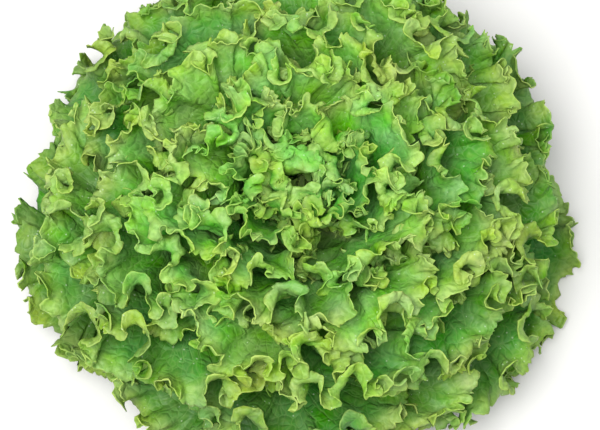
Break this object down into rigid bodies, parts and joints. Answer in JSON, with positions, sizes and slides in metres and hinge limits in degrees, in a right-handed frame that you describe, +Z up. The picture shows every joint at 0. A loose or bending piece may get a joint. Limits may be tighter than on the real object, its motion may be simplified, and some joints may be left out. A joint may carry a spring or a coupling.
{
  "type": "lettuce",
  "caption": "Head of curly green leaf lettuce: a low dome of frilled leaves in a spiral round a stem cut flat below, with a crowded heart of young leaves in the middle.",
  "frame": {"origin": "centre of the cut face of the stem, on the surface that the head rests on", "axes": "+Z up along the stem; -Y towards the lower edge of the picture, +X towards its right edge"},
  "size_m": [0.3018, 0.2872, 0.1247],
  "materials": {
    "stem": "moist, matt",
    "leaf": "satin",
    "heart": "satin"
  },
  "bodies": {
    "root": {"stem": "stem", "leaf_01": "leaf", "leaf_02": "leaf", "leaf_03": "leaf", "leaf_04": "leaf", "leaf_05": "leaf", "leaf_06": "leaf", "leaf_07": "leaf", "leaf_08": "leaf", "leaf_09": "leaf", "leaf_10": "leaf", "leaf_11": "leaf", "leaf_12": "leaf", "leaf_13": "leaf", "leaf_14": "leaf", "leaf_15": "leaf", "leaf_16": "leaf", "leaf_17": "leaf", "leaf_18": "leaf", "leaf_19": "leaf", "leaf_20": "leaf", "leaf_21": "leaf", "leaf_22": "leaf", "leaf_23": "leaf", "leaf_24": "leaf", "leaf_25": "leaf", "leaf_26": "leaf", "leaf_27": "leaf", "leaf_28": "leaf", "leaf_29": "leaf", "leaf_30": "leaf", "leaf_31": "leaf", "leaf_32": "leaf", "leaf_33": "leaf", "leaf_34": "leaf", "leaf_35": "leaf", "leaf_36": "leaf", "leaf_37": "leaf", "leaf_38": "leaf", "leaf_39": "leaf", "leaf_40": "leaf", "leaf_41": "leaf", "leaf_42": "leaf", "leaf_43": "leaf", "leaf_44": "leaf", "heart": "heart"}
  },
  "joints": []
}
